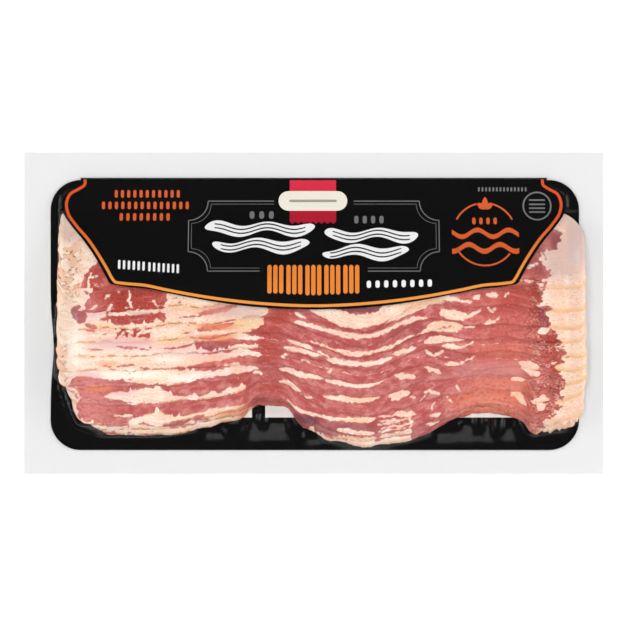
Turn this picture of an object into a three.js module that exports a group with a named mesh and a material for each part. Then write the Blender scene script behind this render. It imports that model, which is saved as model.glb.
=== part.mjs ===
// Vacuum pack of shingled bacon lying on its back, shown side up.
//
// Two webs of clear film are sealed to each other round the border. Between them lies a black
// board whose top end folds over the front as a label flap, and on the board lie the slices,
// each overlapping the one below it. Millimetres: +X across the pack, +Y towards the fold,
// +Z up out of the face. The origin is under the middle of the pack, on its flat underside.
import * as THREE from 'three';

// Film pouch
const POUCH_WIDTH = 270;
const POUCH_LENGTH = 150;
const FILM = 0.3;
const GAP = 0.3; // kept between pieces that touch in the real pack

// Backing board and its label flap
const BOARD = 0.5;
const BOARD_HALF_WIDTH = 123;
const BOARD_BOTTOM = -63.8;
const BOARD_CORNER = 14;
const FOLD_Y = 63;
const FOLD_RADIUS = 1;
const FOLD_HALF_WIDTH = 108.5;
const FLAP_TIP = 1.6;
const FLAP_TIP_CURVE = 1.7; // power of the curve from the tip in the middle to either hip
const FLAP_HIP = 13;
const FLAP_HIP_HALF_WIDTH = 95.5;
const FLAP_SHOULDER = 49;
const FLAP_SHOULDER_HALF_WIDTH = 117.5;
const FLAP_NECK = 54; // where the flap starts to draw in towards the fold
const FLAP_LIFT = 1.4; // clears the slices' edges under the flap
// Distances down the back panel from the fold to its grid lines, closer at the rounded corners.
const PANEL_ROWS = [1, 4, 10, 30, 63, 95, 114, 120, 124];

// Slices
const SLICES = 11;
const SLICE = 2.8;
const OVERLAPS = 5; // each slice reaches back under the edges of the next five
const FRONT_Y = -57;
// From one slice's lower edge to the next: the lowest three lie almost edge on edge.
const EDGE_PITCHES = [2.4, 2.6, 9.5, 8.5, 7, 6.7, 6.5, 6.2, 8.1, 10.5];
const HIDDEN_PITCH = 7.2; // between the upper edges of the last slices, under the flap
const STACK_LEFT = -120;
const STACK_RIGHT = 127;
// Lobes and notches of the stack's lower edge, and the calmer wave of the rows above it, each as
// bells along X: [centre, height, half width].
const FRONT_LOBES = [[-55, 2.5, 20], [-22, 13, 18], [26, -6.5, 20], [79, 12, 16], [103, -4, 7], [126, 4, 9]];
const ROW_LOBES = [[-60, 1.5, 24], [-24, 4, 17], [22, -5.5, 18], [53, 4, 14], [88, 2, 16]];
const ROW_SWELL = 0.15; // how much more each row above the fifth waves, for the next four
// Distances in from the stack's ends to the outer columns of a slice, and the even columns between.
const LEFT_COLUMNS = [0, 4, 10];
const MIDDLE_COLUMNS = { from: -101, to: 108, count: 12 };
const RIGHT_COLUMNS = [9, 3.5, 0];
const CORNER_SLICES = 3; // the lowest slices start further in, where the stack's corner is round
const SHORT_SLICES = 2; // and the lowest two also end one column short on the right
const END_PINCH = [0.5, 0.15]; // of a row, cut off the corners of a slice's last two columns

// Grid lines of the upper web: close together where it falls to the seal, and even in between.
const WEB_LEFT = [-128.5, -124.5, -121.4, -114];
const WEB_MIDDLE_X = { from: -104, to: 108, count: 15 };
const WEB_RIGHT = [116, 123, 127.6, 131];
const WEB_FRONT = [-69, -65.5, -63];
const WEB_MIDDLE_Y = { from: -59, to: 57, count: 19 };
const WEB_BACK = [61, 63.6, 67];
const WEB_CLEAR = 0.5; // left between the web and what it lies on
const STRAIGHT_SIDE = 30; // the board's sides are straight here, and the web ignores its top corners

const FILM_COLOUR = 0xeeeeee;
const BOARD_COLOUR = 0x161616;
const BACON_COLOUR = 0xd0807a;

const boardUnder = FILM + GAP;
const boardTop = boardUnder + BOARD;
const sliceUnder = boardTop + GAP;
const layer = SLICE + GAP;
const topSlice = SLICES - 1;
const lastRow = topSlice + OVERLAPS;
const flapTop = FOLD_Y - FOLD_RADIUS;

// Mean Y of every row line, from the lowest slice's lower edge to the last slice's upper edge.
const rowBases = [FRONT_Y];
for (let row = 0; row < lastRow; row += 1) {
  rowBases.push(rowBases[row] + (EDGE_PITCHES[row] ?? HIDDEN_PITCH));
}

const { smoothstep, clamp, lerp } = THREE.MathUtils;

// Places at even distances, both ends included.
function evenly({ from, to, count }) {
  return Array.from({ length: count + 1 }, (_, n) => lerp(from, to, n / count));
}

// A closed solid between two grids of points, columns along +X and rows along +Y:
// the upper grid faces up, the lower one faces down, and a wall runs round the rim.
function sheetSolid(lower, upper) {
  const columns = upper.length;
  const rows = upper[0].length;
  const points = [...lower.flat(), ...upper.flat()];
  const low = (i, j) => i * rows + j;
  const high = (i, j) => columns * rows + i * rows + j;
  const faces = [];
  for (let i = 0; i + 1 < columns; i += 1) {
    for (let j = 0; j + 1 < rows; j += 1) {
      faces.push(high(i, j), high(i + 1, j), high(i + 1, j + 1));
      faces.push(high(i, j), high(i + 1, j + 1), high(i, j + 1));
      faces.push(low(i, j), low(i + 1, j + 1), low(i + 1, j));
      faces.push(low(i, j), low(i, j + 1), low(i + 1, j + 1));
    }
  }
  const rim = [];
  for (let i = 0; i + 1 < columns; i += 1) rim.push([i, 0]);
  for (let j = 0; j + 1 < rows; j += 1) rim.push([columns - 1, j]);
  for (let i = columns - 1; i > 0; i -= 1) rim.push([i, rows - 1]);
  for (let j = rows - 1; j > 0; j -= 1) rim.push([0, j]);
  rim.forEach((a, n) => {
    const b = rim[(n + 1) % rim.length];
    faces.push(low(...a), low(...b), high(...b));
    faces.push(low(...a), high(...b), high(...a));
  });
  const geometry = new THREE.BufferGeometry();
  geometry.setAttribute('position', new THREE.Float32BufferAttribute(points.flat(), 3));
  geometry.setIndex(faces);
  geometry.computeVertexNormals();
  return geometry;
}

// A wave along X: the sum of its bells, each its height times e to minus the distance squared.
function wave(x, lobes) {
  const bells = lobes.map(([centre, height, spread]) => height * Math.exp(-(((x - centre) / spread) ** 2)));
  return bells.reduce((sum, bell) => sum + bell, 0);
}

// Y of a row line. Line k is the lower edge of slice k and the upper edge of slice k - OVERLAPS.
function rowLine(row, x) {
  const line = Math.min(Math.floor(row), lastRow - 1);
  const base = lerp(rowBases[line], rowBases[line + 1], row - line);
  const settled = Math.min(1, (row / OVERLAPS) ** 2);
  const swell = 1 + ROW_SWELL * clamp(row - OVERLAPS, 0, 4);
  const straightened = 1 - smoothstep(row, topSlice - 1, topSlice + 2);
  return base + (1 - settled) * wave(x, FRONT_LOBES) + settled * swell * straightened * wave(x, ROW_LOBES);
}

// The row at a place on the face, counted in lines and parts of a line.
function rowAt(x, y) {
  for (let row = 0; row < lastRow; row += 1) {
    const here = rowLine(row, x);
    const next = rowLine(row + 1, x);
    if (y >= here && y < next) return row + (y - here) / (next - here);
  }
  return y < rowLine(0, x) ? -1 : lastRow + 1;
}

// Underside height of a slice at a row: level over the slices below it, then down to the board.
const sliceHeight = (slice, row) => sliceUnder + layer * (slice - Math.max(0, row - OVERLAPS));

// Height of the uppermost slice, or 0 beside the stack.
function stackTop(x, y) {
  const row = rowAt(x, y);
  if (x < STACK_LEFT || x > STACK_RIGHT || row < 0 || row > lastRow) return 0;
  const slice = Math.min(Math.floor(row), topSlice);
  return sliceHeight(slice, row) + SLICE;
}

// Columns shared by all slices, closer together towards the rounded ends.
const sliceColumns = [
  ...LEFT_COLUMNS.map((inward) => STACK_LEFT + inward),
  ...evenly(MIDDLE_COLUMNS),
  ...RIGHT_COLUMNS.map((inward) => STACK_RIGHT - inward),
];

// One slice: its lower edge follows its own row line, its upper edge the line five rows on.
function sliceGeometry(slice) {
  const first = Math.max(0, CORNER_SLICES - slice);
  const end = sliceColumns.length - (slice < SHORT_SLICES ? 1 : 0);
  const columns = sliceColumns.slice(first, end);
  const pinch = (n) => END_PINCH[Math.min(n, columns.length - 1 - n)] ?? 0;
  const grid = (lift) => columns.map((x, n) => {
    const points = [];
    for (let step = 0; step <= OVERLAPS; step += 1) {
      const row = slice + clamp(step, pinch(n), OVERLAPS - pinch(n));
      const line = Math.floor(row);
      const y = lerp(rowLine(line, x), rowLine(line + 1, x), row - line);
      points.push([x, y, sliceHeight(slice, row) + lift]);
    }
    return points;
  });
  return sheetSolid(grid(0), grid(SLICE));
}

// Half width of the flap at a height up the pack: wide shoulders, drawn in at hip and fold.
function flapHalfWidth(y) {
  const below = smoothstep(y, FLAP_HIP, FLAP_SHOULDER);
  const above = smoothstep(y, FLAP_NECK, flapTop);
  const side = lerp(FLAP_HIP_HALF_WIDTH, FLAP_SHOULDER_HALF_WIDTH, below);
  return lerp(side, FOLD_HALF_WIDTH, above);
}

// The flap lies on the stack and runs down from the last row to the fold.
const foldInside = boardUnder + 2 * FOLD_RADIUS - BOARD;
function flapUnder(x, y) {
  const shoulder = rowLine(lastRow, x);
  const onStack = sliceUnder + layer * (OVERLAPS - clamp(rowAt(x, y) - topSlice, 0, OVERLAPS)) + SLICE;
  const down = clamp((y - shoulder) / (flapTop - shoulder), 0, 1);
  return lerp(onStack + FLAP_LIFT, foldInside, down);
}

// Half width of the back panel, with its rounded corners at both ends.
function panelHalfWidth(y) {
  const toEnd = Math.min(y - BOARD_BOTTOM, flapTop - y);
  const cut = BOARD_CORNER - Math.min(toEnd, BOARD_CORNER);
  return BOARD_HALF_WIDTH - BOARD_CORNER + Math.sqrt(BOARD_CORNER ** 2 - cut ** 2);
}

// The board is one sheet: up the flap from its curved tip, round the fold, and down the back.
function boardGeometry() {
  const COLUMNS = 16;
  const FLAP_ROWS = 10;
  const FOLD_ROWS = 4;
  const lower = [];
  const upper = [];
  for (let n = 0; n <= COLUMNS; n += 1) {
    const across = (2 * n) / COLUMNS - 1;
    const tip = lerp(FLAP_TIP, FLAP_HIP, Math.abs(across) ** FLAP_TIP_CURVE);
    const inside = [];
    const outside = [];
    for (let row = 0; row < FLAP_ROWS; row += 1) {
      const y = lerp(tip, flapTop, row / FLAP_ROWS);
      const x = across * flapHalfWidth(y);
      inside.push([x, y, flapUnder(x, y)]);
      outside.push([x, y, flapUnder(x, y) + BOARD]);
    }
    for (let row = 0; row <= FOLD_ROWS; row += 1) {
      const turn = Math.PI * (0.5 - row / FOLD_ROWS);
      const bend = (radius) => [
        across * FOLD_HALF_WIDTH,
        flapTop + radius * Math.cos(turn),
        boardUnder + FOLD_RADIUS + radius * Math.sin(turn),
      ];
      inside.push(bend(FOLD_RADIUS - BOARD));
      outside.push(bend(FOLD_RADIUS));
    }
    for (const down of [...PANEL_ROWS, flapTop - BOARD_BOTTOM]) {
      const y = flapTop - down;
      const x = across * panelHalfWidth(y);
      inside.push([x, y, boardTop]);
      outside.push([x, y, boardUnder]);
    }
    lower.push(inside);
    upper.push(outside);
  }
  return sheetSolid(lower, upper);
}

// Height of whatever the upper web lies on at one place.
function contentTop(x, y) {
  const side = panelHalfWidth(Math.min(y, STRAIGHT_SIDE));
  const onBoard = y > BOARD_BOTTOM && y < FOLD_Y && Math.abs(x) < side;
  const onFlap = y > FLAP_TIP && y < FOLD_Y && Math.abs(x) < flapHalfWidth(Math.max(y, FLAP_HIP));
  return Math.max(
    boardUnder - GAP,
    onBoard ? boardTop : 0,
    stackTop(x, y),
    onFlap ? Math.max(flapUnder(x, y), foldInside) + BOARD : 0,
  );
}

// The upper web: each of its points is as high as the highest thing in the cells round it.
function upperWebGeometry() {
  const SAMPLES = 12;
  const halfWidth = POUCH_WIDTH / 2;
  const halfLength = POUCH_LENGTH / 2;
  const columns = [-halfWidth, ...WEB_LEFT, ...evenly(WEB_MIDDLE_X), ...WEB_RIGHT, halfWidth];
  const rows = [-halfLength, ...WEB_FRONT, ...evenly(WEB_MIDDLE_Y), ...WEB_BACK, halfLength];
  const around = (list, n) => [list[Math.max(n - 1, 0)], list[Math.min(n + 1, list.length - 1)]];
  const height = (i, j) => {
    const [left, right] = around(columns, i);
    const [front, back] = around(rows, j);
    let top = 0;
    for (let a = 0; a <= SAMPLES; a += 1) {
      for (let b = 0; b <= SAMPLES; b += 1) {
        top = Math.max(top, contentTop(lerp(left, right, a / SAMPLES), lerp(front, back, b / SAMPLES)));
      }
    }
    const flat = i === 0 || j === 0 || i === columns.length - 1 || j === rows.length - 1;
    return flat ? boardUnder : top + (top > boardUnder ? WEB_CLEAR : GAP);
  };
  const heights = columns.map((x, i) => rows.map((y, j) => height(i, j)));
  const grid = (lift) => columns.map((x, i) => rows.map((y, j) => [x, y, heights[i][j] + lift]));
  return sheetSolid(grid(0), grid(FILM));
}

const film = () => new THREE.MeshStandardMaterial({
  color: FILM_COLOUR, roughness: 0.15, metalness: 0, transparent: true, opacity: 0.35,
});
const blackBoard = () => new THREE.MeshStandardMaterial({
  color: BOARD_COLOUR, roughness: 0.35, metalness: 0,
});
const bacon = () => new THREE.MeshStandardMaterial({
  color: BACON_COLOUR, roughness: 0.4, metalness: 0,
});

function named(name, geometry, material) {
  const mesh = new THREE.Mesh(geometry, material);
  mesh.name = name;
  return mesh;
}

const pack = new THREE.Group();

const lowerWeb = named('lower_web', new THREE.BoxGeometry(POUCH_WIDTH, POUCH_LENGTH, FILM), film());
lowerWeb.position.z = FILM / 2;
pack.add(lowerWeb);
pack.add(named('backing_board', boardGeometry(), blackBoard()));
for (let slice = 0; slice < SLICES; slice += 1) {
  const name = `slice_${String(slice + 1).padStart(2, '0')}`;
  pack.add(named(name, sliceGeometry(slice), bacon()));
}
pack.add(named('upper_web', upperWebGeometry(), film()));

export default pack;
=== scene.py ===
import bpy
import numpy as np
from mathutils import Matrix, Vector


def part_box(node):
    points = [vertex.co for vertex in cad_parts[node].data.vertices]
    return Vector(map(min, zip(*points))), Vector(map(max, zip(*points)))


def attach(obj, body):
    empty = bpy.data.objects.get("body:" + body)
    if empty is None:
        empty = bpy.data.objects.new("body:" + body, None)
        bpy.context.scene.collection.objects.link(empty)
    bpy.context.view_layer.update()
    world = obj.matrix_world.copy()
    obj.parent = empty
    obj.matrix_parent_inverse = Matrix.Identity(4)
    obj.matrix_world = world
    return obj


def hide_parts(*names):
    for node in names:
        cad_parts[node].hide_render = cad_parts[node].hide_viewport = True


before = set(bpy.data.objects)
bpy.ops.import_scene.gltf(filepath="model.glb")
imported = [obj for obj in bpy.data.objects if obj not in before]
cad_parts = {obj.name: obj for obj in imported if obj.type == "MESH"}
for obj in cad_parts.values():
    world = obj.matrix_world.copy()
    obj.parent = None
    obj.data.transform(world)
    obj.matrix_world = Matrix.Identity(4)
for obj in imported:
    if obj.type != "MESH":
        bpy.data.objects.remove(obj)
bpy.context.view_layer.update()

# Table, light and camera.
# A white laminate table under one large softbox overhead and three that stand low at the left,
# the right and the front. The camera looks straight down on the pack.


def linear(code):
    """Linear colour of an sRGB hex code: each channel over 1.055 after adding 0.055, to the 2.4."""
    channels = np.array([int(code[n:n + 2], 16) / 255 for n in (1, 3, 5)])
    high = ((channels + 0.055) / 1.055) ** 2.4
    return (*np.where(channels <= 0.04045, channels / 12.92, high), 1.0)


def add(tree, kind, sockets=(), **options):
    """Adds a node with its options. A socket, by name or number, takes a link or a plain value."""
    made = tree.nodes.new(kind)
    for name, value in options.items():
        setattr(made, name, value)
    for key, value in dict(sockets).items():
        if isinstance(value, bpy.types.NodeSocket):
            tree.links.new(value, made.inputs[key])
        else:
            made.inputs[key].default_value = value
    return made


def new_material(name):
    """An empty material with its output node."""
    material = bpy.data.materials.new(name)
    material.use_nodes = True
    material.node_tree.nodes.clear()
    return material, material.node_tree, add(material.node_tree, "ShaderNodeOutputMaterial")


MM = 0.001
MOTTLE = 110

# Laminate: pressed melamine, white and matt, with a mottle so faint that it only softens the white.
laminate, tree, output = new_material("white_laminate")
place = add(tree, "ShaderNodeTexCoord")
mottle = add(tree, "ShaderNodeTexNoise", {"Vector": place.outputs["Object"], "Scale": 1 / (MOTTLE * MM)})
shade = add(tree, "ShaderNodeMix", {
    0: mottle.outputs["Fac"], 6: linear("#F8F8F8"), 7: linear("#FBFBFB")}, data_type="RGBA")
skin = add(tree, "ShaderNodeBsdfPrincipled", {
    "Base Color": shade.outputs[2], "Roughness": 0.85, "Specular IOR Level": 0.3})
tree.links.new(skin.outputs[0], output.inputs[0])

TABLE_HALF = 3.0
table_mesh = bpy.data.meshes.new("table")
corners = [(-1, -1), (1, -1), (1, 1), (-1, 1)]
table_mesh.from_pydata([(x * TABLE_HALF, y * TABLE_HALF, 0.0) for x, y in corners], [], [(0, 1, 2, 3)])
table_mesh.materials.append(laminate)
table = bpy.data.objects.new("table", table_mesh)
bpy.context.collection.objects.link(table)

# Each softbox: where it stands, its side in metres and its power in watts. The overhead one is
# cross-polarised, so that it lights the film but never glares in it.
softboxes = {
    "overhead": ((0.0, 0.0, 2.3), 2.0, 48.9),
    "left": ((-1.7, 0.2, 0.9), 1.0, 12.0),
    "right": ((1.7, 0.3, 0.9), 1.0, 13.5),
    "front": ((0.1, -1.8, 0.9), 1.2, 9.0),
}
for side, (stand, size, power) in softboxes.items():
    lamp = bpy.data.lights.new(f"softbox_{side}", "AREA")
    lamp.size, lamp.energy = size, power
    holder = bpy.data.objects.new(lamp.name, lamp)
    holder.location = stand
    holder.rotation_euler = (-Vector(stand)).to_track_quat("-Z", "Y").to_euler()
    holder.visible_glossy = side != "overhead"
    bpy.context.collection.objects.link(holder)

ROOM_LIGHT = 0.12
room = bpy.data.worlds.new("studio")
room.use_nodes = True
backdrop = room.node_tree.nodes["Background"]
backdrop.inputs["Color"].default_value = linear("#FFFFFF")
backdrop.inputs["Strength"].default_value = ROOM_LIGHT
bpy.context.scene.world = room
bpy.context.scene.view_settings.view_transform = "Standard"

CAMERA_PLACE = (0.0001, -0.0004, 1.6)
FIELD_WIDTH = 0.2928
lens = bpy.data.cameras.new("camera")
lens.lens = lens.sensor_width * CAMERA_PLACE[2] / FIELD_WIDTH
camera = bpy.data.objects.new("camera", lens)
camera.location = CAMERA_PLACE
bpy.context.collection.objects.link(camera)
bpy.context.scene.camera = camera

# Lower web.
# The flat bottom web of the pouch: clear co-extruded film, a little stiffer than the upper one.
# It lies on the table and shows round the board as a pale grey border.

# An edge that turns by more than this many radians is shaded as a crease.
CREASE_ANGLE = 0.9


def closed_sheets(name, sheets, material, **attributes):
    """One piece of closed sheets, each between an upper and a lower grid of points in millimetres,
    columns along +X and rows along +Y. A column's points run along the upper grid and back along
    the lower one, and a strip of faces shuts either end. An attribute is, for each sheet, an array
    with a value per grid point."""
    points, faces, start = [], [], 0
    for upper, lower in sheets:
        columns, rows = upper.shape[:2]
        ring = 2 * rows
        index = start + np.arange(columns * ring).reshape(columns, ring)
        turned = np.roll(index, -1, axis=1)
        near, far = index[:, :rows], index[:, ring - 1:rows - 1:-1]
        faces += [
            np.stack([index[:-1], index[1:], turned[1:], turned[:-1]], axis=-1).reshape(-1, 4),
            np.stack([near[0, :-1], near[0, 1:], far[0, 1:], far[0, :-1]], axis=-1),
            np.stack([near[-1, 1:], near[-1, :-1], far[-1, :-1], far[-1, 1:]], axis=-1),
        ]
        points.append(np.concatenate([upper, lower[:, ::-1]], axis=1).reshape(-1, 3) * MM)
        start += columns * ring
    points, faces = np.concatenate(points), np.concatenate(faces)
    mesh = bpy.data.meshes.new(name)
    mesh.vertices.add(len(points))
    mesh.vertices.foreach_set("co", points.ravel())
    mesh.loops.add(faces.size)
    mesh.loops.foreach_set("vertex_index", faces.ravel())
    mesh.polygons.add(len(faces))
    mesh.polygons.foreach_set("loop_start", np.arange(0, faces.size, 4))
    mesh.polygons.foreach_set("use_smooth", np.ones(len(faces), bool))
    mesh.update(calc_edges=True)
    for key, grids in attributes.items():
        both = [np.concatenate([grid, grid[:, ::-1]], axis=1).ravel() for grid in grids]
        values = np.concatenate(both).astype(np.float32)
        mesh.attributes.new(key, "FLOAT", "POINT").data.foreach_set("value", values)
    mesh.set_sharp_from_angle(angle=CREASE_ANGLE)
    mesh.materials.append(material)
    piece = bpy.data.objects.new(name, mesh)
    bpy.context.collection.objects.link(piece)
    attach(piece, "root")
    return piece


def lattice(xs, ys):
    """The X and Y of a grid of places, columns along X and rows along Y."""
    return np.meshgrid(xs, ys, indexing="ij")


def grain(x, y, seed):
    """Smooth noise from -1 to 1: a hashed value at each whole number, blended by the smooth step."""
    def hashed(i, j):
        """A value from -1 to 1 for a pair of whole numbers: the last digits of a large sine."""
        return 2 * np.modf(np.abs(np.sin(i * 127.1 + j * 311.7 + seed * 74.7) * 43758.5453))[0] - 1
    i, j = np.floor(x), np.floor(y)
    u, v = x - i, y - j
    u, v = u * u * (3 - 2 * u), v * v * (3 - 2 * v)
    front = hashed(i, j) * (1 - u) + hashed(i + 1, j) * u
    back = hashed(i, j + 1) * (1 - u) + hashed(i + 1, j + 1) * u
    return front * (1 - v) + back * v


# The greatest share of the light that the film mirrors.
FILM_SHINE = 0.05


# Vacuum film: extruded polyamide and polythene, clear and glossy, with a slight grey cast. Its gloss
# is held down on steep folds, where the two faces of the sheet would otherwise both mirror.
def film_material(name, cast, ripple_mm):
    """Clear film whose faint ripples are ripple_mm across."""
    material, tree, output = new_material(name)
    place = add(tree, "ShaderNodeTexCoord")
    ripple = add(tree, "ShaderNodeTexNoise", {
        "Vector": place.outputs["Object"], "Scale": 1 / (ripple_mm * MM), "Detail": 2.0})
    crease = add(tree, "ShaderNodeBump", {
        "Height": ripple.outputs["Fac"], "Strength": 0.1, "Distance": 0.4 * MM})
    clear = add(tree, "ShaderNodeBsdfTransparent", {"Color": linear(cast)})
    gloss = add(tree, "ShaderNodeBsdfGlossy", {"Normal": crease.outputs[0], "Roughness": 0.2})
    edge = add(tree, "ShaderNodeFresnel", {"Normal": crease.outputs[0], "IOR": 1.22})
    share = add(tree, "ShaderNodeMath", {0: edge.outputs[0], 1: FILM_SHINE}, operation="MINIMUM")
    mixed = add(tree, "ShaderNodeMixShader", {
        0: share.outputs[0], 1: clear.outputs[0], 2: gloss.outputs[0]})
    tree.links.new(mixed.outputs[0], output.inputs[0])
    return material


# Thickness of either web, and the height of the lower one's underside.
WEB = 0.12
TABLE_GAP = 0.06
web_low, web_high = (np.array(corner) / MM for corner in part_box("lower_web"))


def web_places(columns, rows):
    """The X and Y of a grid over the whole pouch."""
    return lattice(np.linspace(web_low[0], web_high[0], columns),
                   np.linspace(web_low[1], web_high[1], rows))


lower_film = film_material("lower_web_film", "#F9F9F9", 24.0)
x, y = web_places(columns=60, rows=40)
flat = np.full_like(x, TABLE_GAP)
sheet = (np.stack([x, y, flat + WEB], -1), np.stack([x, y, flat], -1))
lower_web = closed_sheets("lower_web_film", [sheet], lower_film)
lower_web.visible_shadow = False
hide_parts("lower_web")

# Slices.
# Eleven slices of cured, smoked belly, laid as shingles: each one's lower edge lies on the slice
# below and its upper edge reaches back to the board. Each is a grid carried along its own edge.

# Thickness of a slice, rise from one to the next, how many lie on each other, and what lies under
# them. Then the mean Y of the lowest edge and the pitches from each edge to the next.
SLICE = 2.8
STEP = 3.1
OVERLAPS = 5
UNDER = 1.4
FRONT_Y = -57.0
BACK_PITCH = 7.2
edge_pitches = [2.4, 2.6, 9.5, 8.5, 7.0, 6.7, 6.5, 6.2, 8.1, 10.5] + [BACK_PITCH] * OVERLAPS
row_bases = np.cumsum([FRONT_Y] + edge_pitches)
slice_nodes = sorted(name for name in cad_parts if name.startswith("slice_"))
TOP_SLICE = len(slice_nodes) - 1


def hump(x, centre, height, spread):
    """A bell of the given height and half width: height times e to minus the distance squared."""
    return height * np.exp(-(((x - centre) / spread) ** 2))


def ease(value, low, high):
    """Smooth step from 0 at low to 1 at high."""
    t = np.clip((value - low) / (high - low), 0, 1)
    return t * t * (3 - 2 * t)


def through(points, t):
    """A smooth curve through (position, value) points: cubic pieces with centred slopes."""
    at, value = points.T
    slope = np.gradient(value, at)
    n = np.clip(np.searchsorted(at, t) - 1, 0, len(at) - 2)
    h = at[n + 1] - at[n]
    u = np.clip((t - at[n]) / h, 0, 1)
    return ((1 + 2 * u) * (1 - u) ** 2 * value[n] + u * (1 - u) ** 2 * h * slope[n]
            + u * u * (3 - 2 * u) * value[n + 1] + u * u * (u - 1) * h * slope[n + 1])


# Lower edge of the lowest slice, (x, y), with its two notches over the board's white panels, and
# the lobes of the edges above it: (centre, height, spread).
front_edge = np.array([
    (-130, -57), (-96, -57), (-82, -57.1), (-66, -56.4), (-60, -55.2), (-53, -53.6), (-46, -51.8),
    (-40, -50.4), (-35.5, -49.6), (-32, -47.8), (-29, -44.6), (-26, -42.4), (-23, -42.4), (-17, -43.2),
    (-13, -43.9), (-10.5, -46.2), (-8, -50), (-5, -52.6), (-1, -54.8), (3, -57.1), (7, -59.2), (13, -60.4),
    (20, -61.8), (26, -61.8), (34, -60.6), (43, -59.5), (49, -57.8), (55, -55), (61, -51.5), (66, -49.6),
    (71, -48.6), (76, -46.4), (80, -45.8), (85, -46.6), (91, -48.4), (95.5, -49.6), (98.5, -52.2),
    (100.5, -55.4), (103, -56.6), (106, -55.3), (111, -54.8), (118, -54), (124, -52), (130, -50.5)])
row_lobes = [(-60, 1.5, 24), (-24, 4, 17), (22, -5.5, 18), (53, 4, 14), (88, 2, 16)]
# The share by which the lobes grow with each row from row 5 to row 9, and how often a range of rows
# is halved to find a place's row.
ROW_SWELL = 0.15
HALVINGS = 22


def row_line(row, x):
    """Y of a row line at x: its mean, plus the front edge's lobes fading into the rows' wave."""
    front = through(front_edge, x) - row_bases[0]
    rows = sum(hump(x, *lobe) for lobe in row_lobes)
    row = np.clip(row, -1, TOP_SLICE + OVERLAPS)
    base = np.interp(row, np.arange(len(row_bases)), row_bases) + np.minimum(row, 0) * edge_pitches[0]
    settled = np.clip(row / OVERLAPS, 0, 1) ** 2
    swell = 1 + ROW_SWELL * np.clip(row - OVERLAPS, 0, 4)
    straight = 1 - ease(row, TOP_SLICE - 1, TOP_SLICE + 2)
    return base + (1 - settled) * front + settled * swell * straight * rows


def row_at(x, y):
    """The row at a place, by halving the range of rows until the row line passes through it."""
    low, high = np.full_like(x, -1.0), np.full_like(x, TOP_SLICE + OVERLAPS + 0.0)
    for _ in range(HALVINGS):
        middle = (low + high) / 2
        above = row_line(middle, x) < y
        low, high = np.where(above, middle, low), np.where(above, high, middle)
    return (low + high) / 2


def slice_under(number, row):
    """Underside of a slice: level on the slices below it, then down to the board."""
    return UNDER + STEP * (number - np.maximum(0, row - OVERLAPS))


# The stack's ends, the share of its height that is left there and the run that it fills out over.
# Then the share of a slice's thickness that is left at its lower edge, and the run there.
STACK_LEFT, STACK_RIGHT = -119, 126
END_SHARE = 0.5
END_RUN = (-1, 12)
EDGE_SHARE = 0.1
EDGE_RISE = 6.0


def squash(x):
    """Share of its height that the vacuum leaves the stack: it falls smoothly towards both ends."""
    from_end = np.minimum(x - STACK_LEFT, STACK_RIGHT - x)
    return END_SHARE + (1 - END_SHARE) * ease(from_end, *END_RUN)


def thickness(number, inward):
    """A slice is pressed thin at its lower edge and is full where the next slice lies on it: one
    less a power of what is left of the rise."""
    rise = np.minimum(EDGE_RISE, np.take(edge_pitches, number))
    full = 1 - (1 - np.clip(inward / rise, 0, 1)) ** 1.3
    return SLICE * (EDGE_SHARE + (1 - EDGE_SHARE) * full)


def corner_drop(gap, radius):
    """How far a round corner lies back from the edge at a gap from the end: the radius, less the
    root of its square minus the square of what the gap leaves of it."""
    return radius - np.sqrt(radius ** 2 - (radius - np.clip(gap, 0, radius)) ** 2)


# Where each slice ends, left and right, and the radii of its corners.
left_ends = [-100.5, -106.0, -112.0, -115.4, -118.1, -119.2, -119.0, -118.2, -118.6, -118.8, -117.8]
right_ends = [122.6, 124.2, 125.4, 126.2, 126.6, 126.4, 126.2, 126.0, 125.9, 125.8, 125.7]
left_radii = [6, 8, 11, 8, 5, 4, 3, 3, 3, 3, 3]
RIGHT_RADIUS = 3.0
BACK_RADIUS = 14.0

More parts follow.
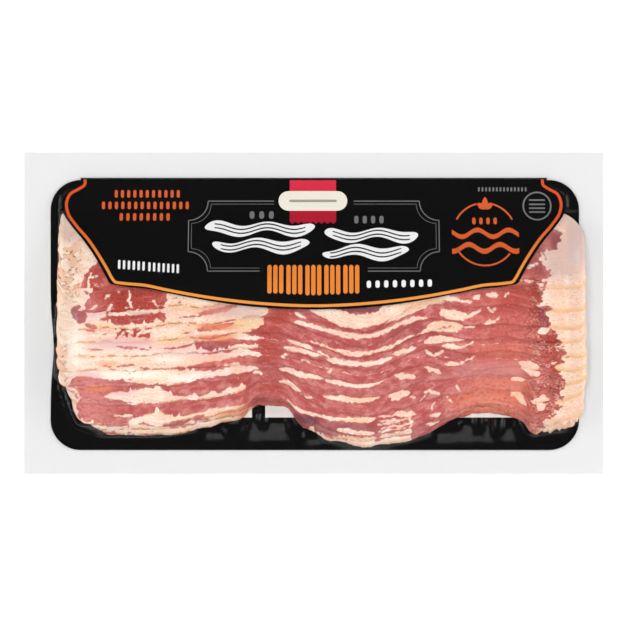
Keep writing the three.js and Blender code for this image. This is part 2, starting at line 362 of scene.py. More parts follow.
# Fat along each slice, from the lowest: (x, from, to) in millimetres, the last two being depths in
# from the slice's lower edge. Between points the band runs straight, so its top is toothed.
fat_bands = [
    [[(-104, -1, 3), (-99, -1, 2.6), (-92, -1, 3), (-90, -1, 3), (-66, -1, 3), (-60, -1, 1.6),
      (-54, -1, 2.6), (-44, -1, 2.2), (-36, -1, 1.4), (-30, -1, 0.3), (-26, 0, -1), (-6, 0, -1),
      (2, -1, 0.7), (12, -1, 1.7), (26, -1, 2.6), (30, -1, 1.6), (36, -1, 2.6), (45, -1, 2.4),
      (46.5, 0, -1)]],
    [[(-110, -1, 3), (-99, -1, 2.4), (-95, -1, 1.6), (-91, -1, 2.2), (-90, -1, 3), (-84, -1, 3),
      (-70, -1, 1.6), (-66, -1, 0.7), (-60, -1, 0.8), (-57, -1, 2.8), (-55, -1, 0.8), (-50, -1, 0.9),
      (-47, -1, 2.8), (-40, -1, 1.8), (-32, -1, 0.8), (-27, 0, -1), (6, 0, -1), (11, -1, 0.5),
      (18, -1, 1.4), (27, -1, 1.6), (30, -1, 0.4), (33, -1, 2), (45, -1, 2.6), (46.5, 0, -1)]],
    [[(-110.5, -1, 12), (-109, -1, 2.6), (-103, -1, 1), (-98, -1, 0.2), (-87, -1, -1), (-85, -1, 2.4),
      (-80, -1, 3.9), (-76, -1, 5.2), (-74, -1, 6.2), (-73, -1, 8.4), (-71.5, -1, 6.4), (-68, -1, 4.6),
      (-64, -1, 2.8), (-60, -1, 2.2), (-56.5, -1, 3.1), (-52, -1, 2.2), (-47.5, -1, 3.5), (-43, -1, 2.6),
      (-38, -1, 2.6), (-33, -1, 1.7), (-29, -1, 0.3), (-27, 0, -1)]],
    [[(-110.5, -1, 12), (-108.5, 3, 4), (-107, 4, 3), (-97, 4, 3.6), (-95, 2.8, 5.2), (-90, 2.4, 6.2),
      (-87, 1.2, 6), (-84, 0, 6.6), (-79, -1, 7), (-76, -1, 7.6), (-74.5, -1, 7), (-73, -1, 9.6),
      (-70, -1, 6.6), (-67, -1, 4.4), (-64, -1, 2.8), (-60, -1, 2), (-57, -1, 2.2), (-55, -1, 2.7),
      (-52.5, -1, 0.9), (-50, -1, 0.6), (-47, -1, 2.9), (-44.5, -1, 1.2), (-42, -1, 1.5), (-39, -1, 3.2),
      (-37, -1, 2.3), (-34, -1, 3), (-32, -1, 2.2), (-31, 0, -1)]],
    [[(-114, -1, 12), (-112, 4, 12), (-109, 5.2, 12), (-103, 4.4, 12), (-98, 3.6, 12), (-93, 2.8, 12),
      (-89, 3.4, 12), (-86, 2.4, 12), (-83, 1.6, 12), (-79, 0.8, 12), (-74, 0.2, 12), (-72.5, 1.4, 12),
      (-71, 0, 12), (-66, -1, 12), (-62, -1, 6.2), (-60.5, -1, 5.2), (-59, -1, 6.6), (-57.5, 0, 5.2),
      (-55.5, 0.8, 6.8), (-53.5, 1.4, 4.9), (-50, 1.5, 4.4), (-47, 1.6, 3.9), (-44, 1.8, 4.4),
      (-41, 1.8, 4.6), (-38, 1.6, 5.6), (-35.5, 1.6, 6), (-33, 1.2, 5), (-31, 0.8, 3.6), (-28, 0, 2),
      (-25.5, -1, 0.4), (-24, 0, -1)]],
    [[(-62, -1, 12), (-59, 0.8, 6.8), (-55, 1.8, 6.9), (-52, 2.4, 6.4), (-48, 3, 6), (-44, 3.3, 6.6),
      (-40, 3.7, 6), (-37.5, 4, 7), (-34, 4.2, 8), (-31, 4, 6.4), (-28, 3.5, 5.2), (-25, 3.2, 4.6),
      (-23.5, 4, 3.6)],
     [(-46, 0, -1), (-44.5, -1, 0.9), (-43, -1, 0.1), (-41, -1, 1.4), (-38.5, -1, 0.6), (-36, -1, 1.6),
      (-33, 0, -1)]],
    [[(-71, -1, 12), (-70, -1, 2.4), (-66, -1, 1.9), (-61, -1, 2.2), (-58, -1, 2.9), (-56.5, -1, 3.4),
      (-55.7, -1, 4.8), (-54.5, -1, 1.9), (-51, -1, 1.6), (-47, -1, 0.6), (-45.5, -1, 1.3),
      (-44, -1, 0.4), (-42, -1, 1.2), (-40.5, -1, 0.5), (-38, -1, 2), (-35.5, -1, 2.6), (-33, -1, 1.6),
      (-29, -1, 1.2), (-26, -1, 0.9), (-23, 0, -1)],
     [(-72, 4, 3), (-71, 2.4, 12), (-66, 2.9, 12), (-61, 3.4, 12), (-57, 4.6, 12), (-54, 5.8, 12),
      (-38, 5.8, 12), (-35, 4.6, 12), (-31, 3.8, 5.8), (-27, 3.2, 4.8), (-23.5, 4.2, 3.8)]],
    [[(-93, -1, 12), (-91, -1, 1.5), (-88, -1, 2.2), (-86, -1, 1.2), (-84, -1, 2.4), (-82, -1, 1.2),
      (-79, -1, 1.6), (-77, -1, 0.6), (-75, -1, 1.4), (-74, -1, 12), (-33, -1, 12), (-27, 1.6, 12),
      (-24, 3, 6), (-22, 6, 4)]],
    [[(-97, -1, 12), (-95.5, -1, 2.2), (-93.5, -1, 4.5), (-92.5, -1, 1.8), (-88, -1, 1.4), (-85, -1, 1.2),
      (-84, -1, 3.2), (-83, -1, 1.2), (-79.5, -1, 1.4), (-78.7, -1, 3.6), (-77.5, -1, 1.2),
      (-74, -1, 1.6), (-72, -1, 3.8), (-70, -1, 1.2), (-68.5, -1, 2.8), (-67, -1, 12), (-26, -1, 12),
      (-22, 2, 5), (-20, 5, 2)],
     [(-97, 7, 6), (-94, 6.2, 7.6), (-82, 6, 7.8), (-70, 6.2, 7.4), (-67, 5, 9), (-66, 8, 7)],
     [(30, 9, 8), (36, 6.8, 12), (44, 5.2, 12), (50, 4.4, 12), (56, 6.6, 12), (62, 9, 8)]],
    [[(-107, -1, 14), (-105, 4, 14), (-103, 7, 14), (-101.5, 14, 13)],
     [(-69, 0, -1), (-68, -1, 4), (-66.5, -1, 14), (-30, -1, 14), (-24, 0, -1)],
     [(-2, 1.4, 1), (2, 0.5, 3), (8, 0.3, 6), (12, 0, 7.2), (22, 1.2, 7.4), (30, 1.4, 7.6), (36, 0.3, 14),
      (46, -1, 14), (58, -0.5, 6), (62, 1, 4), (64, 4, 2)]],
    [[(-108.5, -1, 40), (-107, 3, 40), (-105.5, 7, 40), (-101, 12, 40), (-97, 18, 40), (-92, 26, 40),
      (-89, 41, 40)]],
]

# Streaks of fat in the lean of each slice: (x, depth) at one end, the same at the other, thickness.
fat_streaks = [
    [],
    [(52, 2.4, 58, 0, 1.1), (30, 2.2, 44, 1.9, 0.7)],
    [(-12, 0.4, 4, 5.2, 1.3), (3, 5, 19, 7, 1.4), (15, 7, 28, 7.7, 2.4), (11, 0.9, 28, 0.8, 2.8),
     (29, 8.6, 37, 7.4, 0.9), (30, 6.2, 45, 4.6, 0.9), (29, 4.6, 40, 4.2, 0.8), (31, 2.6, 44, 2.4, 0.9),
     (37, 8, 44, 6.2, 1), (44.5, 8.4, 45.2, -1, 1.2), (30, 1, 43, 0.6, 0.9), (38, 9, 47, 6.2, 1.5),
     (54, 4.6, 56, 8, 0.8), (54, 2.8, 58.6, 0.2, 1.3), (61, 9, 64, 4, 0.5), (-93, 4.5, -83, 4.2, 0.8),
     (91.5, 9.8, 97.6, 4.6, 4.2), (103.4, 9.5, 107.2, 6, 3.2)],
    [(-16, 0.6, -6, 2.8, 2.3), (-4, 2.2, -2.6, 0.8, 0.7), (-2.6, 0.8, -1, 2.6, 0.7), (5, 5.4, 12, 7, 1.8),
     (9, 6.4, 31, 8.2, 2.7), (34.5, 7.6, 44.5, 6.6, 2.9), (36, 6, 40, 5, 1.6), (44, 4.6, 46.5, 3.4, 0.7),
     (52, 5.4, 57.6, 1.4, 1.3), (49.5, 1.4, 52.4, 5, 0.6), (66, 3.6, 68, 0.6, 0.9),
     (-28, 5, -24, 3.4, 0.9), (101, 0.6, 109, 1.6, 3.4), (104, 3.4, 107.4, -1, 2.4),
     (91.5, 5.6, 99, 9.4, 2.6)],
    [(-15.5, 1.2, 4, 5.4, 2.3), (5.6, 5, 33, 7, 2.4), (36.6, 8.2, 47, 3, 2.1), (51, 7, 58.6, 2, 1.4),
     (60.5, 7.6, 66, 7, 1.9), (94.6, 7.4, 104.6, 5.4, 4.6)],
    [(51, 6.6, 55, 3.6, 1.2), (55, 3.6, 60.5, 6.4, 1.2), (60.6, 0.8, 66.5, 1.4, 2),
     (66, 1.6, 74, 5.6, 0.7), (-6, 5, -2, 4.4, 0.5), (6.5, 2, 8, 4, 0.6), (94.6, 2.6, 103.6, 0.6, 3.4),
     (-15, 3.6, -12.6, 6, 0.6)],
    [(-14, 1.4, 3.5, 2.4, 1.9), (-13, 5.2, 0, 4.8, 1.7), (6.5, 1.8, 22, 3.4, 2.2),
     (20, 3.3, 36.5, 2, 2.1), (36.5, 3.4, 46.4, 1.2, 1.9), (1, 4, 7, 3, 0.8), (51, 2.6, 60, 4.8, 3.2),
     (57, 4.6, 69, 7.4, 4), (60, 1.2, 67, 2.8, 2.2), (66, 2, 74, 5.4, 0.7)],
    [(8, 1, 28, 2.6, 2.3), (27, 2.2, 37.5, 1.2, 1.6), (38, 1.4, 46.5, 0.2, 1.6), (-2, 1.2, 9, 1, 0.8),
     (47, -0.4, 56, 1.8, 1.5), (53, 2.2, 69, 5.6, 4.6), (68, 5, 74, 6, 0.8), (104, 4, 109, 6.4, 3),
     (-90, 2.5, -87, 5, 0.9), (-86.6, 5.4, -83, 3.2, 0.8), (-81, 2.6, -78, 5.4, 1),
     (-84.6, 1, -84, 6.4, 0.6), (-79.4, 3.4, -74, 4.6, 1.3), (-92, 4.6, -88.6, 6.4, 1.4),
     (-82, 5.6, -76, 6.6, 1.1)],
    [(-9, 1.3, 8, 3.2, 1.8), (6, 3.2, 24, 5.2, 2.5), (22, 5, 40, 3.4, 2), (38, 3.6, 52, -0.2, 1.7),
     (-8.5, 5.6, -4.5, 4.8, 1.4), (58, 2.6, 71, 4.4, 4.2), (69, 3.4, 77, 6.8, 1.1),
     (78.4, 0.6, 83, 0.9, 1.3), (80.6, 0, 81, 2.4, 0.9), (80.4, 8, 82.4, 5.4, 1),
     (84, 7.6, 83.2, 5.6, 0.8), (83, 1, 86, 3.6, 0.5)],
    [(58, 0.8, 67, 3, 2.2), (65, 2.6, 74, 2.7, 1), (73.6, 4, 77.2, 4.8, 1.9), (80, 5.4, 84.4, 4.6, 2.1),
     (87.6, 3.6, 90, 6, 0.6), (-94.6, -0.5, -94, 3.2, 1), (-84.6, -0.5, -85.4, 9, 0.9),
     (-73.8, 3.8, -71.4, -0.5, 1), (-96, 6, -94.6, 7.6, 0.9), (-90, 9, -89, 7.8, 0.6),
     (-102, 1, -100, 3, 1.2)],
    [(-104.4, 0, -103, 8, 0.9), (-101.6, 2.2, -97.6, 1.6, 0.6), (-103.4, 5, -99, 6.4, 0.7),
     (98, 8.4, 104, 11, 0.8), (95, 2.4, 103, 2, 0.7)],
]

# Lean within the fat, in the same terms.
lean_streaks = [
    [(-87, 0.6, -85.6, 2, 1.1), (-98.5, 1, -91.5, 1.3, 2.2), (-81, 0.4, -72, 0.7, 0.8)],
    [(-86.6, 1.6, -85.4, 2.6, 1)],
    [(-97, 0, -91, 2.2, 2.6), (-82, 1.4, -78.6, 0.6, 0.7), (-68, 0.5, -60, 0.9, 0.8),
     (-57, 1, -50, 1.2, 1.6)],
    [(-114, 7.5, -109, 3, 1), (-112, 9, -108, 5.6, 1.2), (-91, 1.6, -84, 1.2, 1)],
    [(-116, 1.6, -113.6, 5, 0.8), (-85, 3, -82.4, 2.2, 0.8)],
    [(-90.5, 2.2, -82.6, 2.4, 1.2), (-80.6, 1.3, -76, 0.7, 1), (-69.5, -0.3, -58.6, 0.6, 1.1),
     (-98.6, 2.4, -93, 2.2, 0.9)],
    [(-105, 3.6, -97, 3.4, 0.8), (-90.6, 4.5, -80, 3.2, 1.1), (-82, 3.2, -76, 2.4, 0.8),
     (-75.6, 4.6, -74.4, 2, 1)],
    [(-106, 6.6, -100, 5.2, 1.7), (-98, 3.8, -95, 4.2, 0.8), (-62, 2, -57, 3.6, 0.8),
     (-54, 4.3, -36, 5.4, 2.6), (-58, -0.3, -37, 0.6, 2), (55, 0.9, 64, 4.8, 0.8)],
    [(-111, 9.4, -105.5, 3.6, 6.4), (-106, 2.4, -100, 0.6, 2), (-98.5, 4.2, -94.5, 5, 1.3),
     (-62.6, 3, -50, 4.5, 0.9), (-54, 5, -35, 6.8, 2.7), (-48, -0.3, -36, 0.4, 1.3)],
    [(-112, 0.4, -107, 2.6, 3), (-106, 9.6, -103, 7.8, 1.4), (-66, 3.4, -63, 4, 0.7),
     (-64, 1.6, -61, 2.4, 0.6)],
    [(-111, 1.2, -107.6, 2.6, 1.2)],
]

# Places on the face of the pack where the meat is of another tone: (x, y, half width, half height,
# weight). Red is dense lean, smoke an orange tan, dusk a purple grey, gold the yellower fat, mottled
# the end fat with brown veins, and bright the whitest fat. Two are painted light: the film's sheen,
# painted as a greyish pink veil and light streaks over the meat, and a painted lilac sheen on the fat.
tones = {
    "red": [(-84, 4, 16.5, 9.5, 1.0), (-101, 15, 5, 8, 0.8), (-82, -9, 9, 3.4, 0.8),
        (-21, -22, 7, 25, 0.6), (103.5, 4, 4, 13, 1.0), (109.5, -13, 4.5, 9, 0.9),
        (113, -30, 5, 12, 0.75), (106, -46, 6, 7, 0.6), (94, 8, 8, 5, 0.6), (-18, 1, 9, 6, 0.8),
        (-34, -30, 9, 3, 0.5)],
    "smoke": [(81, -43, 17, 7.5, 0.8), (86, -34, 17, 4.4, 0.6), (88, -17, 14, 2.4, 0.4),
        (92, -24, 9, 2.2, 0.3), (-45, -6.4, 10, 1.6, 1.0), (-46, -11.4, 10, 1.5, 1.0),
        (-45, 1.5, 9, 2.2, 0.6), (-99, -34.6, 6, 1.7, 1.0), (-95, -23.4, 5, 1.6, 0.6),
        (-85, -12, 9, 2.2, 0.5), (-48, -21.5, 14, 2.6, 0.5), (-37, -46.5, 8, 1.6, 0.8),
        (-28, -43.5, 12, 2, 0.5), (103, -53, 3, 4, 0.8)],
    # Painted sheen: a lilac tinge laid on the fat where the film mirrors the light.
    "lilac_sheen": [(-92, -35, 10, 3, 1.0), (-58, -36, 8, 3, 0.5), (-88, -14, 15, 3, 0.8),
        (-62, -17, 8, 3, 0.5), (-48, -17.5, 10, 2.6, 0.7), (-104, -30, 6, 3, 0.8), (-100, 0, 8, 4, 0.5),
        (-34, -25, 5, 2, 0.5)],
    "mottled": [(-115, 26, 8, 22, 1.0), (-118, -22, 4, 9, 0.9), (-111, -39, 5, 7, 0.5),
        (-121, 2, 4, 12, 0.6)],
    "dusk": [(113, 33, 4, 5, 0.8), (105, 24, 5, 9, 0.35), (-3, -49.6, 6.5, 3.2, 1.0),
        (20, 2, 13, 1.9, 0.9), (-47, -15.6, 9, 2.6, 0.4), (14, -53.4, 18, 3, 0.55), (-109, -1, 5, 7, 0.5),
        (42, -8, 14, 5, 0.25), (-88, -38, 7, 2.2, 0.3), (106, -2, 3, 5, 0.5)],
    # Painted reflection: the film's sheen laid into the meat's colour, a greyish pink veil on the fat and
    # lighter streaks on the lean, strongest at the top right where the film stands off the stack.
    "film_sheen": [(122, 33, 6, 14, 1.0), (114, 26, 9, 13, 0.7), (118, 46, 8, 6, 0.8), (-113, 39, 6, 7, 0.8),
        (-35, 0.5, 14, 3, 0.7), (-80, -0.2, 5, 0.9, 0.6), (82, -25.5, 16, 3.2, 0.5)],
    "gold": [(-65, -10, 8, 5.5, 0.9), (-59, 2, 7, 4, 0.6), (-34.5, -26.5, 3.6, 4, 0.9),
        (-31, -4.5, 8, 4, 0.8), (-97, -7, 7, 2.6, 0.8), (-88, -13, 16, 1.8, 0.7),
        (-80, -22.5, 9, 2.4, 0.6), (-50, -47.6, 22, 2, 0.7), (-76, -31, 14, 1.8, 0.7),
        (-70, -54, 16, 2, 0.5), (20, -3, 22, 3, 0.3), (20, -50.4, 8, 1.3, 0.7), (18, -58, 12, 1.2, 0.8),
        (22, -39.5, 10, 1.8, 0.5), (60, -6, 9, 6, 0.5), (50, 4, 14, 3, 0.6)],
    "bright": [(-62, -20.5, 13, 2.6, 0.9), (-84, -28.5, 19, 2.2, 0.9), (-61, -30, 10, 2.0, 0.85),
        (-110, -16, 4.5, 9, 0.7), (-66, -8.5, 6, 3, 0.4), (-90, -21, 14, 1.6, 0.4)],
}

# Where the lean gives way to the fat of the right end, (y, x), and the X that the left end's fat
# reaches in to.
fat_seam = np.array([
    (-58, 103), (-52, 106), (-46, 112.5), (-38, 114.5), (-30, 117), (-25, 113), (-18, 115.5), (-8, 112),
    (0, 108), (6, 106.5), (13, 105.5), (15.5, 106.5), (16.5, 111), (20, 108.8), (25, 106.4),
    (27.5, 107), (30, 111), (33, 115.5), (36, 116), (38, 114.5), (39.5, 108), (42, 104), (50, 104)])
END_FAT_X = -114.0


def toned(x, y, patches):
    """Weight of a tone: for each patch its own weight times e to minus the sum of the fourth powers
    of the distances from its middle, and the greatest of these."""
    found = [weight * np.exp(-(((x - px) / wide) ** 4) - ((y - py) / high) ** 4)
             for px, py, wide, high, weight in patches]
    return np.maximum.reduce(found)


def in_streak(x, inward, mark):
    """Depth inside a streak: half its thickness, which falls off towards its ends as the root of one
    minus the cube of the distance from its middle, less the distance from its centre line."""
    x0, d0, x1, d1, thick = mark
    run_x, run_d = x1 - x0, d1 - d0
    t = np.clip(((x - x0) * run_x + (inward - d0) * run_d) / (run_x ** 2 + run_d ** 2), 0, 1)
    apart = np.hypot(x - x0 - t * run_x, inward - d0 - t * run_d)
    return thick / 2 * np.sqrt(np.maximum(1 - np.abs(2 * t - 1) ** 3, 0.01)) - apart


def fat_depth(x, y, inward, number):
    """How far inside fat a place on a cut face is, in millimetres: negative in the lean. The greatest
    depth in any band or streak, less what the streaks of lean cut out. Noises a millimetre or two
    across nudge each outline, and the slice's number shifts them, so that no two slices match."""
    shifted = x + 0.9 * grain(x / 2.4, inward / 1.6 + 9 * number, 3)
    nudged = inward + 0.35 * grain(x / 1.5, inward / 1.5 + 7 * number, 5)
    spike = 3.4 * np.clip(grain(x / 0.8, 3.3 * number + 0 * x, 17) - 0.45, 0, 1)
    found = END_FAT_X + 2 * grain(y / 2, x / 3, 13) - x
    for band in fat_bands[number]:
        at, low, high = np.array(band, float).T
        below, above = np.interp(shifted, at, low), np.interp(shifted, at, high)
        toothed = above + spike * (above > below)
        found = np.maximum(found, np.minimum(nudged - below, toothed - nudged))
    for mark in fat_streaks[number]:
        found = np.maximum(found, in_streak(shifted, nudged, mark))
    seam = np.interp(y, *fat_seam.T)
    seam = seam + 2.8 * grain(y / 2.3, x / 2.5, 11) + 2.0 * grain(y / 0.9, x / 1.4, 12)
    found = np.maximum(found, 0.7 * (x - seam))
    for mark in lean_streaks[number]:
        found = np.minimum(found, -in_streak(shifted, nudged, mark))
    return found


# Grid of a slice: columns along it, rows over the part that shows, and rows under its neighbours.
# Then how many pitches of it show, or what share of the uppermost one, where the two lowest begin to
# be torn, how far the ends wander, and how far the faces swell.
COLUMNS, SHOWN_ROWS, HIDDEN_ROWS = 430, 29, 6
SHOWN_PITCHES = 1.25
TOP_SHOWN = 0.95
TORN_FROM, TORN_TO = 102, 105
END_BITE = 2
BROAD_SWELLING, FINE_SWELLING = 0.22, 0.1


def slice_mesh(number, material):
    """A slice's two faces over a grid: columns along its length, rows inward from its edge. Its ends
    and its edge wander by smooth noise, most where the two lowest slices are torn. The broad noises
    are 5 to 11 mm across and the fine ones 0.9 to 2.5 mm."""
    across = np.linspace(left_ends[number], right_ends[number], COLUMNS)[:, None]
    shown = row_line(number + SHOWN_PITCHES, across) - row_line(number, across)
    whole = row_line(number + OVERLAPS, across) - row_line(number, across)
    shown = np.maximum(shown, TOP_SHOWN * whole) if number == TOP_SLICE else shown
    fine = np.linspace(0, 1, SHOWN_ROWS)[None, :] * shown
    coarse = shown + np.linspace(0, 1, HIDDEN_ROWS + 1)[None, 1:] * (whole - shown)
    inward = np.concatenate([fine, coarse], axis=1)
    own = number + 0 * inward
    bite = 0.7 * grain(inward / 5, own, 23) + 0.3 * grain(inward / 1.6, own, 24)
    x = across + bite * (across - across.mean()) / np.ptp(across) * END_BITE
    tear = 1 + 3 * ease(across, TORN_FROM, TORN_TO) * (number < 2)
    ragged = 0.75 * grain(x / 6, own, 21) + 0.22 * tear * grain(x / 0.9, own, 22)
    to_left, to_right = across - across[0], across[-1] - across
    start = row_line(number, x) + corner_drop(to_left, left_radii[number])
    start = start + corner_drop(to_right, RIGHT_RADIUS) + ragged
    back = BACK_RADIUS if number == TOP_SLICE else RIGHT_RADIUS
    stop = row_line(number + OVERLAPS, x) - corner_drop(to_left, RIGHT_RADIUS)
    stop = stop - corner_drop(to_right, back)
    y = start + (stop - start) * inward / inward[:, -1:]
    row = row_at(x, y)
    swollen = BROAD_SWELLING * grain(x / 11, y / 6, 30) + FINE_SWELLING * grain(x / 2.5, y / 2.5, 31)
    above_board = slice_under(number, np.maximum(row, number)) - UNDER
    under = UNDER + above_board * squash(x) + swollen * np.clip(above_board / STEP, 0, 1)
    upper = under + thickness(number, y - start) * squash(x)
    depth = y - row_line(number, x)
    weights = {tone: [toned(x, y, patches)] for tone, patches in tones.items()}
    sheet = (np.stack([x, y, upper], -1), np.stack([x, y, under], -1))
    return closed_sheets(
        slice_nodes[number] + "_cut", [sheet], material, inward=[y - start], place_x=[x],
        fat=[fat_depth(x, y, depth, number)], slab=[0 * x + number], **weights)


# Cured belly: raw cut meat, moist and slightly translucent. Pink-red lean, mottled by its fibre
# bundles and threaded with darker lines where it is dense. Cream fat with pale flecks and tan pits,
# veined with brown at the left end, and a tan smoked rim. Light and shade are painted in as well: the
# film's sheen, a lilac sheen on the fat, darker lean where the next slice covers it, and dark lines
# of shade along the slices' lower edges.
belly, tree, output = new_material("cured_belly")
field = {}
for name in ("place_x", "inward", "slab", "fat", *tones):
    field[name] = add(tree, "ShaderNodeAttribute", attribute_name=name).outputs["Fac"]
# Each slice takes its patterns from its own layer of the noise.
layer = add(tree, "ShaderNodeMath", {0: field["slab"], 1: 1.7}, operation="MULTIPLY")
cut_place = add(tree, "ShaderNodeCombineXYZ", {0: field["place_x"], 1: field["inward"], 2: layer.outputs[0]})
# Noises on the cut face: (name, width and length of its blotches in millimetres, detail).
blotches = (("broad", 26.0, 12.0, 2.0), ("bundle", 3.0, 4.4, 2.0), ("fibre", 1.3, 1.9, 2.0),
            ("fine", 0.7, 1.1, 1.0), ("band", 1.8, 12.0, 1.5))
noise = {}
for name, wide, long, detail in blotches:
    scaled = add(tree, "ShaderNodeVectorMath", {0: cut_place.outputs[0], 1: (1 / long, 1 / wide, 0.2)},
                 operation="MULTIPLY")
    blotch = add(tree, "ShaderNodeTexNoise", {"Vector": scaled.outputs[0], "Scale": 1.0, "Detail": detail})
    noise[name] = blotch.outputs["Fac"]
# Each share is a field or a noise eased from nothing at one value to a full weight at another:
# (name, source, from, to, full weight).
shares = (
    ("dusky", noise["broad"], 0.4, 0.6, 0.9), ("bundled", noise["bundle"], 0.48, 0.64, 0.8),
    ("paler", noise["bundle"], 0.49, 0.35, 0.75), ("dark", noise["fibre"], 0.5, 0.66, 0.55),
    ("wisp", noise["band"], 0.56, 0.68, 0.3), ("flecked", noise["fine"], 0.6, 0.7, 0.8),
    ("pitted", noise["fine"], 0.36, 0.28, 0.7), ("right", field["place_x"], 58.0, 88.0, 0.6),
    ("speck", noise["fine"], 0.66, 0.76, 0.5), ("seamed", field["place_x"], 92.0, 106.0, 0.8),
    ("broken", noise["fibre"], 0.44, 0.6, 1.0), ("outer", field["place_x"], 104.0, 112.0, 0.75),
    ("band_rim", field["inward"], 2.8, 0.8, 1.0), ("edge", field["inward"], 0.9, 0.25, 0.85),
    ("left_half", field["place_x"], -18.0, -34.0, 1.0), ("raised", field["slab"], 1.0, 3.0, 1.0),
    ("inner", field["place_x"], -111.0, -101.0, 1.0), ("left", field["place_x"], -86.0, -104.0, 0.8),
    ("pinkish", noise["broad"], 0.42, 0.58, 0.9), ("creamy", field["place_x"], -56.0, -92.0, 0.75),
    ("stained", noise["band"], 0.5, 0.64, 0.5), ("washed", noise["band"], 0.46, 0.32, 0.6),
    ("cool", field["place_x"], 104.0, 112.0, 0.6), ("rim", field["inward"], 1.5, 0.3, 0.6),
    # The second share on the next line is painted shade: the lean darkens in the last 0.8 mm to a slice's
    # lower edge.
    ("patchy", noise["bundle"], 0.42, 0.56, 1.0), ("lean_edge_shade", field["inward"], 0.8, 0.2, 0.35),
    ("vein_from", noise["bundle"], 0.43, 0.5, 1.0), ("vein_to", noise["bundle"], 0.57, 0.5, 1.0),
    # The first share on the next line is painted shade: the lean darkens from 2.5 to 6.5 mm in from a slice's
    # lower edge, towards where the next slice covers it.
    ("under_next_shade", field["inward"], 2.5, 6.5, 0.5), ("thread_from", noise["fibre"], 0.44, 0.5, 1.0),
    ("thread_to", noise["fibre"], 0.56, 0.5, 0.9))
share = {tone: field[tone] for tone in tones}
for name, source, low, high, full in shares:
    eased = add(tree, "ShaderNodeMapRange", {"Value": source, 1: low, 2: high, 4: full},
                interpolation_type="SMOOTHSTEP")
    share[name] = eased.outputs[0]
# Shares that hold only where both of two others do.
products = (
    ("broken_rim", "rim", "patchy"), ("outer_rim", "band_rim", "outer"), ("right_rim", "outer_rim", "raised"),
    ("vein", "vein_from", "vein_to"), ("broken_vein", "vein", "broken"), ("veined", "broken_vein", "mottled"),
    ("tanned", "patchy", "mottled"), ("roped", "vein", "seamed"), ("left_edge", "edge", "left_half"),
    # The second product on the next line is a painted shadow line: brown along the lower edge of the fat on
    # the left slices, in patches.
    ("inner_edge", "left_edge", "inner"), ("edge_shadow_line", "inner_edge", "patchy"),
    ("thread", "thread_from", "thread_to"), ("threaded", "thread", "red"),
    # The first product on the next line keeps that painted shade to the right part of the stack.
    ("under_next_shade_right", "under_next_shade", "right"), ("seam_thread", "thread", "seamed"),
    ("pale_thread", "seam_thread", "patchy"))
for name, first, second in products:
    both = add(tree, "ShaderNodeMath", {0: share[first], 1: share[second]}, operation="MULTIPLY")
    share[name] = both.outputs[0]
# Lean and fat are each laid up from tints over a ground, in order.
# Painted light among the lean tints: the darker red where the next slice covers the lean on the right, the
# dark line of shade at each slice's lower edge, and the film's sheen.
lean_tints = (
    ("dusky", "#BB5A57"), ("bundled", "#B65351"), ("paler", "#DA8C86"), ("left", "#D9857F"),
    ("right", "#D26A5C"), ("under_next_shade_right", "#A2403C"), ("smoke", "#E68468"), ("red", "#B84436"),
    ("threaded", "#842A24"), ("roped", "#6E2824"), ("dark", "#A64A47"), ("wisp", "#D98A80"),
    ("speck", "#EDB2A4"), ("pale_thread", "#F2BDAA"), ("lean_edge_shade", "#9C4238"), ("film_sheen", "#D58E88"),
    ("dusk", "#823F4A"))
# Painted light among the fat tints: the brown shadow line at the slices' lower edges on the left, the film's
# sheen, and its lilac sheen.
fat_tints = (
    ("pinkish", "#F8CDBB"), ("creamy", "#FAE2CE"), ("gold", "#F3C796"), ("stained", "#F5C6A4"),
    ("washed", "#F2C0B4"), ("bright", "#FFF3E5"), ("cool", "#F4C8AA"), ("flecked", "#FFF1E4"),
    ("pitted", "#C48A6A"), ("mottled", "#F8DCC6"), ("tanned", "#ECBC9B"), ("veined", "#94523C"),
    ("broken_rim", "#E6A272"), ("right_rim", "#F0B982"), ("smoke", "#EC9F6C"), ("edge_shadow_line", "#C4824F"),
    ("film_sheen", "#D3B6AE"), ("lilac_sheen", "#EBBFC0"))
laid = []
for ground, tints in (("#C96C69", lean_tints), ("#FBE4D4", fat_tints)):
    colour = linear(ground)
    for name, tint in tints:
        mixed = add(tree, "ShaderNodeMix", {0: share[name], 6: colour, 7: linear(tint)}, data_type="RGBA")
        colour = mixed.outputs[2]
    laid.append(colour)
# Where the fat meets the lean, the fibres fray the line by about half a millimetre either way.
fray = add(tree, "ShaderNodeMath", {0: noise["fibre"], 1: 2.0, 2: -0.9}, operation="MULTIPLY_ADD")
frayed = add(tree, "ShaderNodeMath", {0: field["fat"], 1: fray.outputs[0]}, operation="ADD")
is_fat = add(tree, "ShaderNodeMapRange", {"Value": frayed.outputs[0], 1: -0.35, 2: 0.35},
             interpolation_type="SMOOTHSTEP")
flesh = add(tree, "ShaderNodeMix", {0: is_fat.outputs[0], 6: laid[0], 7: laid[1]}, data_type="RGBA")
relief = add(tree, "ShaderNodeBump", {"Height": noise["fibre"], "Strength": 0.35, "Distance": 0.3 * MM})
meat = add(tree, "ShaderNodeBsdfPrincipled", {
    "Base Color": flesh.outputs[2], "Normal": relief.outputs[0], "Roughness": 0.42,
    "Subsurface Weight": 0.08, "Subsurface Scale": 0.0012, "IOR": 1.4})
tree.links.new(meat.outputs[0], output.inputs[0])

for number, node_name in enumerate(slice_nodes):
    cut = slice_mesh(number, belly)
    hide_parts(node_name)

# Backing board.
# One sheet of coated board, black outside, that runs down the back of the pack, turns over at the
# top and comes down the front as the label flap. Inside it is white within a black margin.

